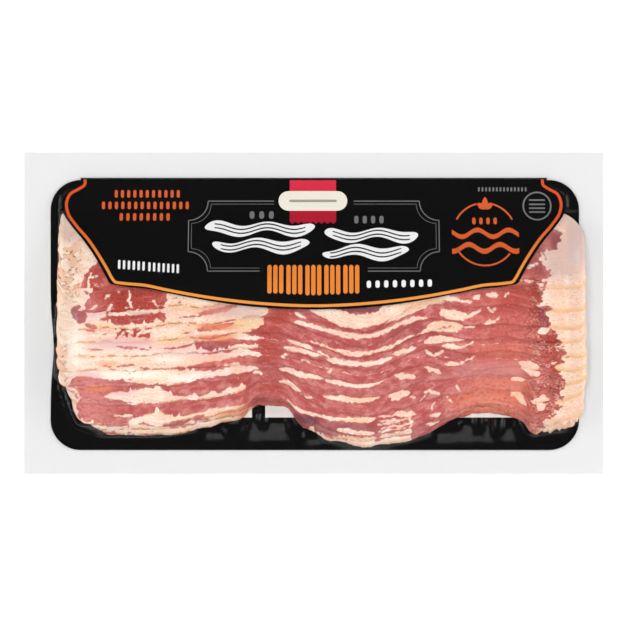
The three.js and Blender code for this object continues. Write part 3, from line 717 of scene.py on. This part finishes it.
# Thickness of the board and height of its underside, and the fold's line, radius and half length.
# The back panel's edges, its round corners, and the bow in its left edge: (centre, depth, spread).
# Then how far the flap clears the stack, how softly it breaks, in rows, and how far its edges run.
BOARD = 0.5
BOARD_UNDER = 0.6
FOLD_Y, FOLD_RADIUS = 63.0, 1.0
FOLD_HALF = 108.5
PANEL_BOTTOM, PANEL_CORNER = -63.8, 14.0
PANEL_LEFT, PANEL_RIGHT = -122.6, 123.6
PANEL_BOW = (-16, 1.4, 14)
FLAP_LIFT = 0.45
FLAP_BREAK = 0.35
SIDES_FROM, SIDES_TO = 13.0, 64.0
FOOT_HALF = 95.5

# Half width of the flap by height, and the height of its lower edge by distance from the middle.
flap_sides = np.array([
    (SIDES_FROM, 92.6), (14, 94.2), (16, 95.4), (20, 97.6), (27, 101.8), (34.5, 107.3), (41, 112.8),
    (46.5, 116.4), (51, 117.2), (55, 116), (58, 111.6), (60.5, 108.8), (SIDES_TO, FOLD_HALF)])
flap_foot = np.array([
    (0, 1.6), (20, 2.3), (40, 4.2), (53, 6.2), (68, 9.0), (78, 11.0), (90, 12.3), (96, 13.4)])


def flap_under(x, y):
    """Underside of the flap: along the stack's top, down its back, and on to the fold. The break
    from level to falling is rounded by the logarithm of one plus e to the rows past it, and the run
    to the fold falls by a power a little under one, so that it sags."""
    row = row_at(x, np.minimum(y, row_line(TOP_SLICE + OVERLAPS, x)))
    past = np.clip(row - TOP_SLICE, -3, OVERLAPS)
    rounded = FLAP_BREAK * np.log1p(np.exp(past / FLAP_BREAK))
    stack = UNDER + SLICE + FLAP_LIFT + STEP * (OVERLAPS - rounded)
    down = np.clip((y - row_bases[-1]) / (FOLD_Y - FOLD_RADIUS - row_bases[-1]), 0, 1)
    fold = BOARD_UNDER + 2 * FOLD_RADIUS - BOARD
    return stack + (fold - stack) * down ** 0.8


def panel_sides(y):
    """Left and right edge of the back panel at a height, with its rounded corners. The left edge
    bows in a little beside the stack."""
    to_end = np.minimum(y - PANEL_BOTTOM, FOLD_Y - FOLD_RADIUS - y)
    cut = PANEL_CORNER - np.clip(to_end, 0, PANEL_CORNER)
    inset = PANEL_CORNER - np.sqrt(PANEL_CORNER ** 2 - cut ** 2)
    return PANEL_LEFT + inset + hump(y, *PANEL_BOW), PANEL_RIGHT - inset


FLAP_COLUMNS, FLAP_ROWS, FOLD_ROWS, PANEL_ROWS = 161, 60, 13, 90
across = np.linspace(-1, 1, FLAP_COLUMNS)[:, None]
flap_top = FOLD_Y - FOLD_RADIUS
foot = through(flap_foot, np.abs(across) * FOOT_HALF)
up = np.linspace(0, 1, FLAP_ROWS)[None, :-1]
flap_y = foot + (flap_top - foot) * up
flap_x = across * through(flap_sides, np.maximum(flap_y, SIDES_FROM))
flap_z = flap_under(flap_x, flap_y)
turn = np.pi * (0.5 - np.linspace(0, 1, FOLD_ROWS))[None, :]
fold_x = across * FOLD_HALF + 0 * turn


def bend(radius):
    """One face of the fold: half a circle of the given radius, carried along the fold's line."""
    return np.stack([fold_x, flap_top + radius * np.cos(turn) + 0 * across,
                     BOARD_UNDER + FOLD_RADIUS + radius * np.sin(turn) + 0 * across], -1)


fall = (1 - np.cos(np.linspace(0, np.pi, PANEL_ROWS)[None, 1:])) / 2
panel_y = flap_top + (PANEL_BOTTOM - flap_top) * fall + 0 * across
left, right = panel_sides(panel_y)
panel_x = left + (right - left) * (across + 1) / 2
outside = np.concatenate([np.stack([flap_x, flap_y, flap_z + BOARD], -1), bend(FOLD_RADIUS),
                          np.stack([panel_x, panel_y, BOARD_UNDER + 0 * panel_x], -1)], axis=1)
inside = np.concatenate([np.stack([flap_x, flap_y, flap_z], -1), bend(FOLD_RADIUS - BOARD),
                         np.stack([panel_x, panel_y, BOARD_UNDER + BOARD + 0 * panel_x], -1)], axis=1)

# Coated board: solid bleached board printed black. Its aqueous coat is satin, so that the black
# stays deep and mirrors next to nothing, and its fibres give it a faint dent and mottle.
black_board, tree, output = new_material("coated_black_board")
place = add(tree, "ShaderNodeTexCoord")
pulp = add(tree, "ShaderNodeTexNoise", {
    "Vector": place.outputs["Object"], "Scale": 1 / (2.5 * MM), "Detail": 4.0})
ink = add(tree, "ShaderNodeMix", {
    0: pulp.outputs["Fac"], 6: linear("#080808"), 7: linear("#0D0C0C")}, data_type="RGBA")
dent = add(tree, "ShaderNodeBump", {
    "Height": pulp.outputs["Fac"], "Strength": 0.08, "Distance": 0.1 * MM})
coat = add(tree, "ShaderNodeBsdfPrincipled", {
    "Base Color": ink.outputs[2], "Normal": dent.outputs[0], "Roughness": 0.5, "Specular IOR Level": 0.04})
tree.links.new(coat.outputs[0], output.inputs[0])

board = closed_sheets("backing_board_sheet", [(outside, inside)], black_board)
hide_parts("backing_board")

# Board print.
# Inside, the board is white within a black margin and a black centre strip. Outside, the flap
# carries the label: flat inks and one foil, with plain marks where lettering would be.

# Thickness of an ink, its clearance from what it lies on, and the spacing of its grid.
INK = 0.05
INK_GAP = 0.02
SPACING = 1.5


# Litho ink on coated board: even and satin, a little brighter in the light than the board's coat,
# with a fine dot that darkens it here and there. The foil is drawn as an ink with some metal in it.
def ink_material(name, first, second, roughness=0.45, metallic=0.0):
    """An ink on coated board, from one colour to another along the piece's fade attribute."""
    material, tree, output = new_material(name)
    place = add(tree, "ShaderNodeTexCoord")
    dots = add(tree, "ShaderNodeTexNoise", {"Vector": place.outputs["Object"], "Scale": 1 / (0.9 * MM)})
    fade = add(tree, "ShaderNodeAttribute", attribute_name="fade")
    tone = add(tree, "ShaderNodeMix", {
        0: fade.outputs["Fac"], 6: linear(first), 7: linear(second)}, data_type="RGBA")
    thin = add(tree, "ShaderNodeMapRange", {"Value": dots.outputs["Fac"], "To Max": 0.12})
    printed = add(tree, "ShaderNodeMix", {
        0: thin.outputs[0], 6: tone.outputs[2], 7: linear("#303030")}, data_type="RGBA")
    ink = add(tree, "ShaderNodeBsdfPrincipled", {
        "Base Color": printed.outputs[2], "Roughness": roughness, "Metallic": metallic,
        "Specular IOR Level": 0.15})
    tree.links.new(ink.outputs[0], output.inputs[0])
    return material


def on_flap(x, y, layer=1):
    """A sheet of ink on the flap's face, over a grid of places."""
    face = flap_under(x, y) + BOARD
    high, low = face + INK_GAP + INK * layer, face + INK_GAP + INK * (layer - 1)
    return np.stack([x, y, high], -1), np.stack([x, y, low], -1)


def between_edges(x, low, high, layer=1):
    """A patch from a lower to an upper edge, each a height for every x."""
    rows = np.linspace(0, 1, max(3, int(np.max(high - low) / SPACING) + 2))[None, :]
    y = low[:, None] + (high - low)[:, None] * rows
    return on_flap(np.broadcast_to(x[:, None], y.shape), y, layer)


def stripe(path_x, path_y, width, layer=1):
    """A line of a given width along a path, its edges offset square to it on either side."""
    run = np.stack([np.gradient(path_x), np.gradient(path_y)])
    run = run / np.hypot(*run)
    side = np.array([-0.5, 0.0, 0.5])[None, :] * np.broadcast_to(width, path_x.shape)[:, None]
    x = path_x[:, None] - run[1][:, None] * side
    y = path_y[:, None] + run[0][:, None] * side
    return on_flap(x, y, layer)


def pill(left, right, low, high, layer=1):
    """A bar with round ends: its half height falls off as a quarter circle towards either end."""
    radius = min(high - low, right - left) / 2
    centre, middle = (left + right) / 2, (low + high) / 2
    x = centre - (right - left) / 2 * np.cos(np.linspace(0.08, np.pi - 0.08, 22))
    past = np.clip(np.abs(x - centre) - ((right - left) / 2 - radius), 0, radius)
    half = (high - low) / 2 - radius + np.sqrt(radius ** 2 - past ** 2)
    return between_edges(x, middle - half, middle + half, layer)


def beads(left, right, low, high, count, climb=0.0):
    """A row of plain upright beads, as wide as the gaps between them, that may climb along the row."""
    pitch = (right - left) / (count - 1 / 2)
    starts = left + pitch * np.arange(count)
    return [pill(at, at + pitch / 2, low + climb * (at - left), high + climb * (at - left)) for at in starts]


def arc(centre_x, centre_y, radius, first, last, count=40):
    """Points round a circle from one angle to another, in degrees."""
    angle = np.radians(np.linspace(first, last, count))
    return centre_x + radius * np.cos(angle), centre_y + radius * np.sin(angle)


def joined(*paths):
    """Paths laid end to end."""
    return tuple(np.concatenate(axis) for axis in zip(*paths))


def straight(x0, y0, x1, y1):
    """A straight path with evenly spaced points."""
    count = max(3, int(np.hypot(x1 - x0, y1 - y0) / SPACING))
    return np.linspace(x0, x1, count), np.linspace(y0, y1, count)


def label_piece(name, sheets, material, fades=None):
    """One printed piece of several sheets. A fade, for each sheet, runs from 0 to 1 between the ink's
    two colours."""
    fades = fades or [np.zeros(upper.shape[:2]) for upper, _ in sheets]
    closed_sheets(name, sheets, material, fade=fades)


# White panels.
# The two parts of the board's inner face that the black leaves bare, left and right of the centre
# strip. They are bleached board, and the slices hide all but their lower edges.
WHITE_LOW, WHITE_HIGH = -48.6, 20.0
bleached = ink_material("bleached_board_white", "#E9E2DE", "#E9E2DE", roughness=0.6)
panels = []
for left, right in ((-110.0, -28.8), (-22.6, 110.0)):
    x, y = lattice(np.linspace(left, right, 12), np.linspace(WHITE_LOW, WHITE_HIGH, 8))
    face = BOARD_UNDER + BOARD + INK_GAP + 0 * x
    panels.append((np.stack([x, y, face + INK], -1), np.stack([x, y, face], -1)))
label_piece("inner_white_panels", panels, bleached)

# Border line.
# Orange ink that darkens to red towards the fold, in one line set in from the flap's edge all the
# way round. It is carried along a smooth curve through the points of its right half, mirrored.
BORDER_WIDTH = 1.35
orange_ink = ink_material("border_orange_ink", "#F09A42", "#DC5522")
right_half = [
    (106.5, 62.2), (106.5, 60.0), (109.3, 57.8), (113.3, 55.4), (115.0, 51.0), (114.2, 46.5),
    (110.5, 41.0), (104.8, 34.5), (99.5, 27.0), (95.2, 20.0), (92.9, 16.0), (91.6, 14.4), (88.8, 13.9),
    (77.6, 12.8), (68.0, 10.8), (53.0, 8.0), (27.0, 4.7), (0.0, 3.4)]
border = np.array([(-x, y) for x, y in right_half] + right_half[-2::-1])
run = np.concatenate([[0], np.cumsum(np.hypot(*np.diff(border, axis=0).T))])
steps = np.linspace(0, run[-1], 300)
line_x = through(np.stack([run, border[:, 0]], 1), steps)
line_y = through(np.stack([run, border[:, 1]], 1), steps)
line = stripe(line_x, line_y, BORDER_WIDTH)
label_piece("print_border_line", [line], orange_ink, [ease(line[0][..., 1], 12, 48)])

# Ribbon and badge.
# A red ribbon that hangs from the fold to a pinked end, with a cream badge across it that has a
# buff bar where its lettering would be. Each ink lies on the one before.
RIBBON_LEFT, RIBBON_RIGHT = -11.2, 10.4
RIBBON_LOW, RIBBON_HIGH = 41.4, 61.9
TOOTH = 1.35
red_ink = ink_material("ribbon_red_ink", "#B01A2E", "#D92C45")
x = np.linspace(RIBBON_LEFT, RIBBON_RIGHT, 61)
pinking = RIBBON_LOW + 1.1 * np.abs(np.mod((x - RIBBON_LEFT) / TOOTH, 2) - 1)
ribbon = between_edges(x, pinking, np.full_like(x, RIBBON_HIGH))
label_piece("print_red_ribbon", [ribbon], red_ink, [ease(ribbon[0][..., 1], 44, 60)])
cream_ink = ink_material("badge_cream_ink", "#EFE9DC", "#EFE9DC")
label_piece("print_cream_badge", [pill(-16.4, 15.6, 47.6, 56.8, 2)], cream_ink)
buff_ink = ink_material("badge_buff_ink", "#A89F8C", "#A89F8C")
label_piece("print_badge_line", [pill(-11.5, 10.7, 51.6, 52.8, 3)], buff_ink)

# Silver marks.
# Dull silver foil: the plaque's frame of two fine lines with scooped corners, open at the top and
# the bottom, three rows of beads, and a ring round four bars at the upper right.
PLAQUE_SIDE, PLAQUE_LOW, PLAQUE_HIGH = 58.1, 19.4, 52.1
SCOOP = 9.0
OPEN_ABOVE, OPEN_BELOW = 18.5, 25.0
RING = (103.8, 49.8, 6.4)
silver = ink_material("silver_foil", "#868686", "#868686", roughness=0.35, metallic=0.3)
frame_lines = []
for hand in (-1, 1):
    for inset, width in ((0.0, 0.45), (1.4, 0.22)):
        side, low, high = PLAQUE_SIDE - inset, PLAQUE_LOW + inset, PLAQUE_HIGH - inset
        path_x, path_y = joined(
            straight(OPEN_ABOVE, high, side - SCOOP, high), arc(side, high, SCOOP, 180, 270),
            straight(side, high - SCOOP, side, low + SCOOP), arc(side, low, SCOOP, 90, 180),
            straight(side - SCOOP, low, OPEN_BELOW, low))
        keep = np.concatenate([[True], np.hypot(np.diff(path_x), np.diff(path_y)) > 0.05])
        path_x, path_y = path_x[keep], path_y[keep]
        if hand < 0:
            path_x, path_y = -path_x[::-1], path_y[::-1]
        frame_lines.append(stripe(path_x[::-1], path_y[::-1], width))
for row in ((-29.8, -18.6, 43.8, 47.4, 3), (18.8, 32.4, 41.6, 45.2, 4), (76.4, 99.0, 56.6, 58.6, 14)):
    frame_lines += beads(*row)
frame_lines.append(stripe(*arc(*RING, 0, 360, 60), 0.7))
for middle in (52.6, 50.6, 48.8, 47.0):
    frame_lines.append(pill(100.0, 107.6, middle - 0.35, middle + 0.35))
label_piece("print_silver_lines", frame_lines, silver)

# White title.
# White ink: four wavy rashers in place of the title, each with two dark streaks, and three rows of
# beads in place of the small words. A rasher's half height is a wave times a taper at its ends.
white_ink = ink_material("title_white_ink", "#F4F4F4", "#F4F4F4")
streak_ink = ink_material("title_streak_ink", "#131313", "#131313")
RASHER_HALF, RASHER_SWELL, SWELL_RUN = 2.5, 0.5, 6.5
WAVE_HEIGHT, WAVE_RUN = 1.3, 3.9
STREAK_HALF, STREAK_OFFSET = 0.32, 0.9
rashers, streaks = [], []
for left, right, middle, phase in ((-50.5, 0.5, 39.2, 0.4), (-47.0, -2.0, 31.4, 2.6),
                                   (5.0, 48.3, 36.2, 1.5), (4.0, 44.0, 28.2, 3.9)):
    x = np.linspace(left, right, 70)
    wave = middle + WAVE_HEIGHT * np.sin((x - left) / WAVE_RUN + phase)
    taper = 1 - np.abs((x - (left + right) / 2) / ((right - left) / 2)) ** 6
    taper = np.sqrt(np.maximum(taper, 0.02))
    swell = (RASHER_HALF + RASHER_SWELL * np.sin((x - left) / SWELL_RUN + phase)) * taper
    rashers.append(between_edges(x, wave - swell, wave + swell))
    inner = slice(6, -6)
    thin = STREAK_HALF * taper
    for streak in (wave - STREAK_OFFSET, wave + STREAK_OFFSET):
        streaks.append(between_edges(x[inner], (streak - thin)[inner], (streak + thin)[inner], 2))
blocks = beads(24.4, 54.4, 11.6, 15.0, 8, climb=0.02)
weights = beads(-90.4, -78.0, 20.4, 24.6, 6, climb=-0.07) + beads(-76.4, -62.2, 19.3, 23.5, 7, climb=-0.07)
label_piece("print_white_title", rashers + blocks + weights, white_ink)
label_piece("print_title_streaks", streaks, streak_ink)

# Flavour field.
# Amber ink: a row of upright bars in five groups above the flap's tip, the outer ones a little
# shorter, in place of the flavour's name.
amber_ink = ink_material("flavour_amber_ink", "#EE8A35", "#F0983F")
BARS_LEFT, GROUP_PITCH, BAR_PITCH = -21.4, 8.75, 2.7
bars = []
for group in range(5):
    for bar in range(3):
        left = BARS_LEFT + GROUP_PITCH * group + BAR_PITCH * bar
        bars.append(pill(left, left + 2.0, 8.2 + 0.4 * abs(group - 2), 22.3))
label_piece("print_amber_bars", bars, amber_ink)

# Side marks.
# Orange-red ink: three rows of beads on the left, and on the right a ring in three arcs round a row
# of beads and two waves, with a plain sprig of three points on top.
ROUNDEL = (79.2, 36.6, 14.6)
SPRIG_X, SPRIG_Y = 79.6, 48.4
side_ink = ink_material("side_orange_ink", "#D9602F", "#D9602F")
marks = []
for row in ((-92.6, -62.3, 53.7, 57.3, 11), (-98.5, -58.1, 48.3, 51.9, 14), (-90.2, -66.9, 42.9, 46.5, 8)):
    marks += beads(*row)
for first, last in ((28, 76), (104, 152), (206, 322)):
    marks.append(stripe(*arc(*ROUNDEL, first, last), 0.8))
x = np.linspace(64.0, 95.0, 60)
for middle, thick, phase in ((37.0, 1.1, 0.0), (30.2, 1.2, 1.8)):
    wave = middle + 1.6 * np.sin(x / 2.3 + phase)
    marks.append(between_edges(x, wave - thick, wave + thick))
marks += beads(73.5, 85.0, 41.2, 44.4, 4)
along = np.linspace(0, 1, 14)
for lean, reach in ((-52, 4.4), (0, 5.6), (52, 4.4)):
    angle = np.radians(90 - lean)
    leaf_x = SPRIG_X + reach * along * np.cos(angle)
    leaf_y = SPRIG_Y + reach * along * np.sin(angle)
    marks.append(stripe(leaf_x, leaf_y, 0.25 + 2.4 * np.sin(np.pi * along) ** 0.8))
label_piece("print_side_marks", marks, side_ink)

# Upper web.
# The thinner, formable top web: vacuum draws it down over the flap and the slices, and it is
# sealed to the lower web all round. It is a net of heights relaxed over what it lies on.


def stack_top(x, y):
    """Height of the uppermost slice at a place with its swellings, and 0 beside the stack."""
    row = row_at(x, y)
    number = np.clip(np.floor(row), 0, TOP_SLICE)
    inward = y - row_line(number, x)
    level = slice_under(number, row) - UNDER + thickness(number.astype(int), inward)
    top = UNDER + level * squash(x) + BROAD_SWELLING + FINE_SWELLING
    left = np.interp(row, np.arange(TOP_SLICE + 1), left_ends)
    right = np.interp(row, np.arange(TOP_SLICE + 1), right_ends)
    last = row_line(TOP_SLICE + OVERLAPS, x)
    within = (row >= 0) & (y < last) & (x > left + 1) & (x < right - 1)
    return np.where(within, top, 0)


def content_top(x, y):
    """Height of whatever the film lies on."""
    left, right = panel_sides(np.clip(y, PANEL_BOTTOM, flap_top))
    on_panel = (x > left) & (x < right) & (y > PANEL_BOTTOM) & (y < FOLD_Y)
    foot = through(flap_foot, np.minimum(np.abs(x), FOOT_HALF))
    side = through(flap_sides, np.clip(y, SIDES_FROM, SIDES_TO))
    within_flap = (y > foot) & (y < FOLD_Y) & (np.abs(x) < side)
    panel = np.where(on_panel, BOARD_UNDER + BOARD, 0)
    flap = np.where(within_flap, flap_under(x, np.clip(y, foot, flap_top)) + BOARD, 0)
    return np.maximum.reduce([panel, flap, stack_top(x, y)])


# Height of the sealed flange, the film's clearance over what it lies on, and the turns of the net:
# a few over all of it, and then only where it is drawn tight between the stack and the margin.
FLANGE = TABLE_GAP + WEB + 0.1
CLEAR = 0.2
FREE_TURNS, TIGHT_TURNS = 2, 6
TIGHT_FROM_X, TIGHT_BELOW_Y = (-62, -54), (-46, -40)
x, y = web_places(columns=231, rows=155)
rest = np.maximum(content_top(x, y) + CLEAR, FLANGE)
# Over the board's bottom margin the film stands in flat facets that lean to the front, and a bridge
# of film runs from each one's top towards the stack: (left, right, low, high).
LEAN_OUT, FLANK, FALL, BRIDGE = 0.6, 2.5, 3.0, 4.0
facets = [
    (-52, -41.5, -59.8, -55.2), (-32, -24, -60.4, -50.2), (-23.4, -11, -60, -50.8), (56, 66, -61.4, -55.5),
    (66.5, 76, -61, -51.6), (77.5, 84, -61, -50.4), (87, 95, -60.5, -53.5), (-5, 3, -62, -58.5)]
for left, right, low, high in facets:
    bridge = LEAN_OUT * (high - low) - FALL * np.maximum(y - high - BRIDGE, 0)
    facet = np.minimum.reduce([LEAN_OUT * (y - low), FLANK * (x - left), FLANK * (right - x), bridge])
    rest = np.maximum(rest, BOARD_UNDER + BOARD + CLEAR + facet)
height = rest.copy()
tight = ease(x[1:-1, 1:-1], *TIGHT_FROM_X) * (1 - ease(y[1:-1, 1:-1], *TIGHT_BELOW_Y))
for done in range(FREE_TURNS + TIGHT_TURNS):
    around = (height[:-2, 1:-1] + height[2:, 1:-1] + height[1:-1, :-2] + height[1:-1, 2:]) / 4
    drawn = height[1:-1, 1:-1] * (1 - tight) + around * tight
    height[1:-1, 1:-1] = np.maximum(rest[1:-1, 1:-1], around if done < FREE_TURNS else drawn)
upper_film = film_material("upper_web_film", "#FAFAFA", 9.0)
sheet = (np.stack([x, y, height + WEB], -1), np.stack([x, y, height], -1))
upper_web = closed_sheets("upper_web_film", [sheet], upper_film)
upper_web.visible_shadow = False
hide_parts("upper_web")
